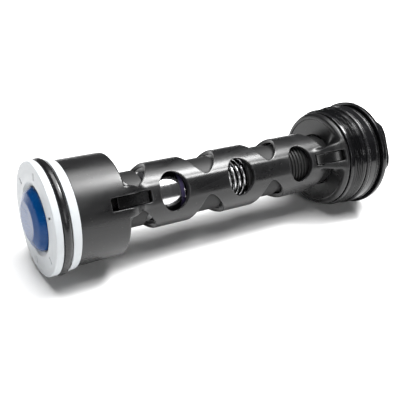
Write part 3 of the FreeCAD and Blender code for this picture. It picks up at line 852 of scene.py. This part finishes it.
# ---- Poppet group ----------------------------------------------------------------------------------------
class VALVE_OT_poppet(bpy.types.Operator):
    """Blue poppet with its seal, washer and nut"""

    bl_idname = "valve.poppet"
    bl_label = "Poppet"

    def execute(self, context):
        front, rear, flange = extent("poppet")
        nose = 16.9
        outline = OutlineField([
            (front, -8.0), (front, 10.4, 2.5), (front + 1.8, 14.6, 3.0), (front + 4.8, nose, 2.0),
            (front + 14.1, nose), (front + 14.1, flange, 0.4), (front + 17.1, flange, 0.8),
            (front + 19.1, 9.0, 1.5), (rear, 8.0, 0.6), (rear, -8.0),
        ])

        def field(p):
            x, y, z = p.T
            r, angle = np.hypot(y, z), np.arctan2(z, y)
            solid = outline(x, r)
            for place in (12.0, 282.0):
                turn = folded(angle, math.radians(place), 2 * math.pi)
                across = np.abs(r * np.sin(turn))
                notch = np.maximum(np.maximum(across - 2.3, 13.6 - r * np.cos(turn)), x - front - 5.4)
                solid = common(solid, -notch, 0.3)
            return solid

        step = 0.42
        reach = np.arange(-flange - 1.0, flange + 1.0, step)
        grids = (np.arange(front - 0.83, rear + 1.0, step), reach, reach)
        piece = field_surface("blue_poppet", field, grids, in_blocks)
        finished(piece, "poppet", "poppet_group", material("poppet"))
        front, rear, outer = extent("poppet_seal")
        turned_piece("face_seal", "poppet_seal", "poppet_group", "black_rubber", "rubber",
                     band(front, rear, nose + 0.05, outer, 0.3, 0.5))
        front, rear, outer = extent("poppet_washer")
        turned_piece("poppet_washer_disc", "poppet_washer", "poppet_group", "plated_steel", "plated",
                     band(front, rear, STEM_HOLE, outer, 0.1), 96)
        front, rear, _ = extent("stem_nut")

        def hexed(x, r, a):
            flat = 6.5 / np.cos((a - ARM_ANGLE + SIXTH / 2) % SIXTH - SIXTH / 2)
            return x, np.where(r > 5.0, np.minimum(r, flat), r)

        turned_piece("locking_nut", "stem_nut", "poppet_group", "plated_steel", "plated", [
            (front, STEM_GRIP), (front, 6.2), (front, 7.0), (front + 0.7, 7.6), (rear - 0.7, 7.6), (rear, 7.0),
            (rear, 6.2), (rear, STEM_GRIP)], reshape=hexed)
        return {"FINISHED"}


class VALVE_OT_spool(bpy.types.Operator):
    """Stem, bright steel spool, its ring and clip, and the spring's seat"""

    bl_idname = "valve.spool"
    bl_label = "Stem and spool"

    def execute(self, context):
        front, rear, outer = extent("stem")
        turned_piece("stem_rod", "stem", "poppet_group", "polished_steel", "polished",
                     [(front, 0), (front, outer, 0.3), (rear, outer, 1.0), (rear, 0)], 72)
        front, rear, outer = extent("spool")
        turned_piece("steel_spool", "spool", "poppet_group", "polished_steel", "polished", [
            (front, STEM_HOLE), (front, outer - 2.6, 0.4), (front + 2.4, outer, 0.6), (rear - 4.4, outer, 0.25),
            (rear - 4.4, outer - 1.6, 0.1), (rear - 2.0, outer - 1.6, 0.1), (rear - 2.0, outer, 0.25),
            (rear, outer, 0.6), (rear, STEM_HOLE)], 180)
        turned_piece("spool_ring", "piston_ring", "poppet_group", "ptfe", "ptfe",
                     band(rear - 4.3, rear - 2.1, outer - 1.5, outer + 0.35), 180,
                     gap=0.05, gap_at=ARM_ANGLE + 0.35)
        front, rear, _ = extent("stem_clip")
        turned_piece("stem_e_clip", "stem_clip", "poppet_group", "plated_steel", "plated",
                     band(front, rear, STEM_GRIP, 7.4, edge=0.2), 80, gap=0.8, gap_at=ARM_ANGLE - QUARTER)
        front, rear, outer = extent("spring_seat")
        turned_piece("spring_cup", "spring_seat", "poppet_group", "black_nylon", "guide", [
            (front, STEM_HOLE), (front, outer, 0.5), (rear, outer, 0.5), (rear, outer - 1.4, 0.3),
            (front + 1.45, outer - 1.4, 0.4), (front + 1.45, 10.2, 0.2), (front + 3.15, 9.9, 0.4),
            (front + 3.15, STEM_HOLE)], 160)
        return {"FINISHED"}


# ---- Spring and guides -----------------------------------------------------------------------------------
class VALVE_OT_spring(bpy.types.Operator):
    """Main spring with closed and ground ends, and its shims"""

    bl_idname = "valve.spring"
    bl_label = "Spring"

    def execute(self, context):
        settings = context.scene.valve_spring
        front, rear, outer = extent("main_spring")
        wire, turns = settings.wire / MM / 2, settings.turns
        coil = outer - wire
        count, around = turns * 44, 12
        turn = np.linspace(0, turns, count + 1)
        closed = 2 * wire * 1.03
        open_pitch = (rear - front - 2 * wire - 2 * closed) / (turns - 2)
        opened = np.clip(np.minimum(turn - 0.75, turns - 0.75 - turn) / 0.5, 0, 1)
        pitch = closed + (open_pitch - closed) * opened
        x = np.concatenate(((0,), np.cumsum((pitch[1:] + pitch[:-1]) / 2 * np.diff(turn))))
        x = front + wire * 0.55 + x * (rear - front - 1.1 * wire) / x[-1]
        angle = turn * 2 * math.pi
        section = np.linspace(0, 2 * math.pi, around, endpoint=False)
        r = coil + wire * np.cos(section)[None, :]
        points = np.stack((x[:, None] + wire * np.sin(section)[None, :], r * np.cos(angle)[:, None],
                           r * np.sin(angle)[:, None]), -1)
        points[..., 0] = np.clip(points[..., 0], front + 0.02, rear - 0.02)
        number = np.arange((count + 1) * around).reshape(count + 1, around)
        side = np.roll(number, -1, 1)
        faces = np.stack((number[:-1], side[:-1], side[1:], number[1:]), -1).reshape(-1, 4).tolist()
        faces += [number[0].tolist(), number[-1, ::-1].tolist()]
        piece = mesh_object("coil_spring", points.reshape(-1, 3), faces)
        finished(piece, "main_spring", "valve_body", material("spring"))
        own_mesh(piece)
        front, rear, outer = extent("spring_shims")
        middle = (front + rear) / 2
        pair = [lathe(band(a, b, 8.6, outer, 0.1, 0.25), 120)
                for a, b in ((front, middle - 0.02), (middle + 0.02, rear))]
        shims = mesh_object("shim_pair", *gathered(*pair))
        finished(shims, "spring_shims", "valve_body", material("plated"))
        return {"FINISHED"}


def finger(ends, r_root, arm_x, arm_r, depth, angle):
    """Snap finger that fills one of the cage's windows, with its top a little below the slope of the arm."""
    t = np.linspace(0, 1, 16)
    x = ends[0] + (ends[1] - ends[0]) * t
    along = np.clip((x - arm_x[0]) / (arm_x[1] - arm_x[0]), 0, 1)
    top = arm_r[0] + (arm_r[1] - arm_r[0]) * along * along * (3 - 2 * along) - depth
    return prism([(ends[0], r_root), (ends[1], r_root), *zip(x[::-1], top[::-1])], 6.1, angle, 0.3)


class VALVE_OT_guides(bpy.types.Operator):
    """Poppet guide with its bush, and the ribbed spring guide with its retaining ring"""

    bl_idname = "valve.guides"
    bl_label = "Guides"

    def execute(self, context):
        front, rear, _ = extent("poppet_guide")
        parts = [lathe(band(front + 2.4, rear, 13.7, 15.7, 0.4, 0.4), 144),
                 lathe(band(front + 10.0, rear - 0.2, 6.0, 8.6, 0.3, 0.5), 96)]
        spoke = [(front + 10.4, 7.5), (front + 19.4, 7.5), (front + 19.4, 14.5), (front + 10.4, 14.5)]
        parts += [prism(spoke, 3.0, ARM_ANGLE + QUARTER * (i + 0.5), 0.4) for i in range(4)]
        parts += [finger((front, front + 20.6), 14.6, (front + 3.4, front + 22.9), (24.6, TUBE_R), 1.0,
                         ARM_ANGLE + math.pi * i) for i in range(2)]
        guide = mesh_object("poppet_spider", *gathered(*parts))
        finished(guide, "poppet_guide", "valve_body", material("guide"))
        front, rear, outer = extent("guide_bush")
        turned_piece("stem_bush", "guide_bush", "valve_body", "bearing_bronze", "bronze",
                     band(front, rear, STEM_HOLE, outer, 0.3), 80)

        front, rear, _ = extent("spring_guide")
        outer, inner = 14.6, 13.1
        clip_front, clip_rear, _ = extent("retaining_ring")
        land, rib, groove = 15.75, outer + 0.9, inner + 0.6
        outline = [(front, inner, 0.3), (front, land, 0.5), (front + 22.9, land, 0.3), (front + 23.5, outer)]
        for i in range(6):
            x = front + 31.1 + 2.4 * i
            outline += [(x, outer, 0.15), (x, rib, 0.25), (x + 1.1, rib, 0.25), (x + 1.1, outer, 0.15)]
        outline += [(front + 46.9, outer), (front + 47.5, land, 0.3), (rear, land, 0.3), (rear, inner),
                    (clip_rear + 0.15, inner), (clip_rear + 0.15, groove), (clip_front - 0.15, groove),
                    (clip_front - 0.15, inner)]
        parts = [lathe(outline, 160, steps=3),
                 lathe(band(front + 30.6, front + 35.0, STEM_HOLE, inner + 0.4, 0.3, 0.0), 120)]
        parts += [finger((rear - 13.6, rear - 0.2), 14.6, (rear - 17.2, rear + 1.2), (TUBE_R, 28.4), 1.0,
                         ARM_ANGLE + math.pi * i) for i in range(2)]
        sleeve = mesh_object("ribbed_sleeve", *gathered(*parts))
        finished(sleeve, "spring_guide", "valve_body", material("guide"))
        turned_piece("spigot_clip", "retaining_ring", "valve_body", "spring_steel", "spring",
                     band(clip_front, clip_rear, 11.65, 13.5, 0.2), 120, gap=0.38, gap_at=ARM_ANGLE + QUARTER)
        return {"FINISHED"}


# ---- Hex cap ---------------------------------------------------------------------------------------------
class VALVE_OT_cap(bpy.types.Operator):
    """Hex cap with its fine thread, pilot land, flange, two rubber rings and backing ring"""

    bl_idname = "valve.cap"
    bl_label = "Hex cap"

    def execute(self, context):
        settings = context.scene.valve_cap
        pitch, flats = settings.thread_pitch / MM, settings.across_flats / MM / 2
        nose, end, flange = extent("end_cap")
        _, cage_end, _ = extent("cage")
        face = cage_end + 0.1
        crest, depth, root = 31.6, 0.8, 30.8
        start, stop = face + 2.6, face + 11.6
        groove, pilot = 29.8, 31.9
        ring_front, ring_rear, _ = extent("cap_o_ring")
        corner = flats + 2.9
        spigot = 12.9
        clip_front, clip_rear, _ = extent("retaining_ring")
        outline = [
            (nose + 14.0, 0.0), (nose + 14.0, 5.0), (nose + 14.0, 6.0, 0.4),
            (nose, 6.0, 0.4), (nose, spigot, 0.8),
            (clip_front - 0.05, spigot), (clip_front - 0.05, spigot - 1.3), (clip_rear + 0.05, spigot - 1.3),
            (clip_rear + 0.05, spigot), (nose + 21.8, spigot), (nose + 21.8, 15.7, 0.3), (face, 15.7),
            (face, 28.4, 0.2), (face + 0.7, 28.4, 0.2), (face + 0.7, 30.75, 0.6), (face + 2.3, 30.9, 0.4),
        ]
        outline += [(x, root) for x in np.arange(start, stop, 0.11)]
        outline += [
            (stop + 0.1, crest - 0.4, 0.3), (ring_front - 0.1, crest - 0.4, 0.2),
            (ring_front - 0.1, groove, 0.2), (ring_rear + 0.1, groove, 0.2), (ring_rear + 0.1, pilot, 0.4),
            (-4.4, pilot, 0.3), (-4.4, groove, 0.2), (0.3, groove), (0.3, 32.1), (0.0, 32.1, 0.1),
            (0.0, flange, 0.5), (3.2, flange, 0.9), (3.2, corner + 4.0),
            (3.2, corner + 0.9), (3.3, corner + 0.42), (3.6, corner + 0.1), (4.2, corner), (9.0, corner),
        ]
        outline += [(end - 1.6, corner), (end - 1.2, corner - 0.4), (end - 0.7, corner - 1.0),
                    (end - 0.42, corner - 1.5)]
        outline += [(end - 0.42 + 0.42 * math.sin(a), flats + 0.35 - 0.1 * (1 - math.cos(a)))
                    for a in (0.4, 0.8, 1.2, math.pi / 2)]
        outline += [(end, flats - 1.0), (end, flats * 0.8), (end, 9.6), (end, 9.0, 0.2),
                    (end - 0.35, 8.6, 0.2), (end - 0.35, 0.9), (end - 0.2, 0.5), (end - 0.2, 0.0)]

        def shaped(x, r, a):
            phase = ((x - start) / pitch - a / (2 * math.pi)) % 1.0
            ridge = 1 - np.clip((np.abs(2 * phase - 1) - 0.10) / 0.72, 0, 1)
            ridge = ridge * ridge * (3 - 2 * ridge) * 0.35 + ridge * 0.65
            fade = np.clip((x - start + 0.2) / 1.1, 0, 1) * np.clip((stop - x) / 0.9, 0, 1)
            threaded = (x > start - 1e-6) & (x < stop + 1e-6) & (np.abs(r - root) < 1e-6)
            r = np.where(threaded, root + depth * ridge * fade, r)
            flat = flats / np.cos((a - ARM_ANGLE + SIXTH / 2) % SIXTH - SIXTH / 2)
            softened = np.clip(x - end + 0.42, 0, 0.42) / 0.42
            flat = flat - 0.42 * (1 - np.sqrt(1 - softened ** 2)) + np.maximum(r - corner, 0)
            hexed = np.minimum(flat, r)
            close = np.maximum(0.9 - np.abs(flat - r), 0) / 0.9
            hexed = hexed - close * close * 0.9 / 4
            head = (x > 3.15) & (r < corner + 0.95) & (r > flats - 0.9)
            return x, np.where(head, hexed, r)

        cap = mesh_object("hex_cap", *lathe(outline, 288, shaped, steps=3))
        finished(cap, "end_cap", "valve_body", material("cap"))
        for name, node_name in (("thread_o_ring", "cap_o_ring"), ("flange_seal_ring", "flange_o_ring")):
            ring = rubber_ring(name, node_name, 24)
            finished(ring, node_name, "valve_body", material("rubber"))
        front, rear, outer = extent("backup_ring")
        turned_piece("flange_backing_ring", "backup_ring", "valve_body", "black_nylon", "guide",
                     band(front, rear, groove + 0.1, outer, 0.2, 0.2), 220,
                     gap=0.012, gap_at=ARM_ANGLE + QUARTER + 0.17)
        return {"FINISHED"}


# ---- Stage -----------------------------------------------------------------------------------------------
class VALVE_OT_stage(bpy.types.Operator):
    """Pale floor, soft boxes, grey room and the camera"""

    bl_idname = "valve.stage"
    bl_label = "Stage"

    def execute(self, context):
        settings = context.scene.valve_stage
        scene = context.scene
        scene.view_settings.view_transform = "Standard"
        low = min(corner[2] for corner in CAD_BOX) - 0.0002
        size = 4.0
        work = bmesh.new()
        bmesh.ops.create_grid(work, x_segments=8, y_segments=8, size=size)
        mesh = bpy.data.meshes.new("studio_floor")
        work.to_mesh(mesh)
        work.free()
        floor = bpy.data.objects.new("studio_floor", mesh)
        scene.collection.objects.link(floor)
        floor.location = (-0.1, 0.0, low)
        made, tree, shader = new_material("pale_floor", Roughness=0.9)
        shader.inputs["Specular IOR Level"].default_value = 0.1
        place = node(tree, "TexCoord").outputs["Object"]
        cloud = node(tree, "TexNoise", {"Vector": place, "Scale": 14.0, "Detail": 3.0}).outputs[0]
        base = tuple(settings.floor)
        tone = mixed(tree, ramp(tree, cloud, 0.3, 0.7), base, tuple(c * 0.985 for c in base))
        tree.links.new(tone, shader.inputs["Base Color"])
        mesh.materials.append(made)
        for name, place, aim, across, power in (
            ("overhead_softbox", (-0.05, 0.0, 1.3), (-0.11, 0.0, 0.0), 1.3, 40.0),
            ("key_softbox", (0.42, -0.08, 0.98), (-0.13, 0.0, 0.0), 0.34, 15.0),
            ("front_softbox", (-0.35, -1.2, 0.55), (-0.1, 0.0, 0.0), 0.3, 3.0),
        ):
            light = bpy.data.lights.new(name, "AREA")
            light.shape, light.size, light.energy = "SQUARE", across, power * settings.strength
            lamp = bpy.data.objects.new(name, light)
            lamp.location = place
            direction = np.array(aim) - np.array(place)
            lamp.matrix_world = aimed(place, direction)
            scene.collection.objects.link(lamp)
        world = bpy.data.worlds.new("grey_room")
        world.use_nodes = True
        back = world.node_tree.nodes["Background"]
        back.inputs[0].default_value = (0.075, 0.076, 0.078, 1.0)
        back.inputs[1].default_value = 1.0
        scene.world = world
        lens = bpy.data.cameras.new("valve_camera")
        lens.lens, lens.sensor_width = 57.55, 36.0
        lens.clip_start, lens.clip_end = 0.01, 20.0
        camera = bpy.data.objects.new("valve_camera", lens)
        right, up, back_axis = (0.8462, -0.5263, 0.0832), (0.1955, 0.4520, 0.8703), (-0.4956, -0.7202, 0.4854)
        spot = (-0.30594, -0.27590, 0.17484)
        rows = [[right[i], up[i], back_axis[i], spot[i]] for i in range(3)]
        camera.matrix_world = Matrix(rows + [[0, 0, 0, 1]])
        scene.collection.objects.link(camera)
        scene.camera = camera
        return {"FINISHED"}


def aimed(place, direction):
    """Matrix of a lamp at place that shines along direction."""
    back = -np.array(direction, float) / np.linalg.norm(direction)
    side = np.cross((0.0, 0.0, 1.0), back)
    side /= np.linalg.norm(side)
    up = np.cross(back, side)
    return Matrix([[side[i], up[i], back[i], place[i]] for i in range(3)] + [[0, 0, 0, 1]])


# ---- Panel and registration ------------------------------------------------------------------------------
STEPS = ("cage", "nose", "poppet", "spool", "spring", "guides", "cap", "stage")
SETTINGS = {
    "valve_cage": CageSettings, "valve_cap": CapSettings, "valve_nose": NoseSettings,
    "valve_spring": SpringSettings, "valve_stage": StageSettings,
}


class VALVE_PT_panel(bpy.types.Panel):
    bl_label = "Cartridge valve"
    bl_space_type = "VIEW_3D"
    bl_region_type = "UI"
    bl_category = "Valve"

    def draw(self, context):
        for key, kind in SETTINGS.items():
            box = self.layout.box()
            box.label(text=kind.__name__.replace("Settings", ""))
            for field in kind.__annotations__:
                box.prop(getattr(context.scene, key), field)
        for step in STEPS:
            self.layout.operator("valve." + step)


CLASSES = (*SETTINGS.values(), VALVE_OT_cage, VALVE_OT_nose, VALVE_OT_poppet, VALVE_OT_spool, VALVE_OT_spring,
           VALVE_OT_guides, VALVE_OT_cap, VALVE_OT_stage, VALVE_PT_panel)


def register():
    for kind in CLASSES:
        bpy.utils.register_class(kind)
    for key, kind in SETTINGS.items():
        setattr(bpy.types.Scene, key, PointerProperty(type=kind))


def unregister():
    for key in SETTINGS:
        delattr(bpy.types.Scene, key)
    for kind in reversed(CLASSES):
        bpy.utils.unregister_class(kind)


def main():
    register()
    for step in STEPS:
        getattr(bpy.ops.valve, step)()


if __name__ == "__main__":
    main()
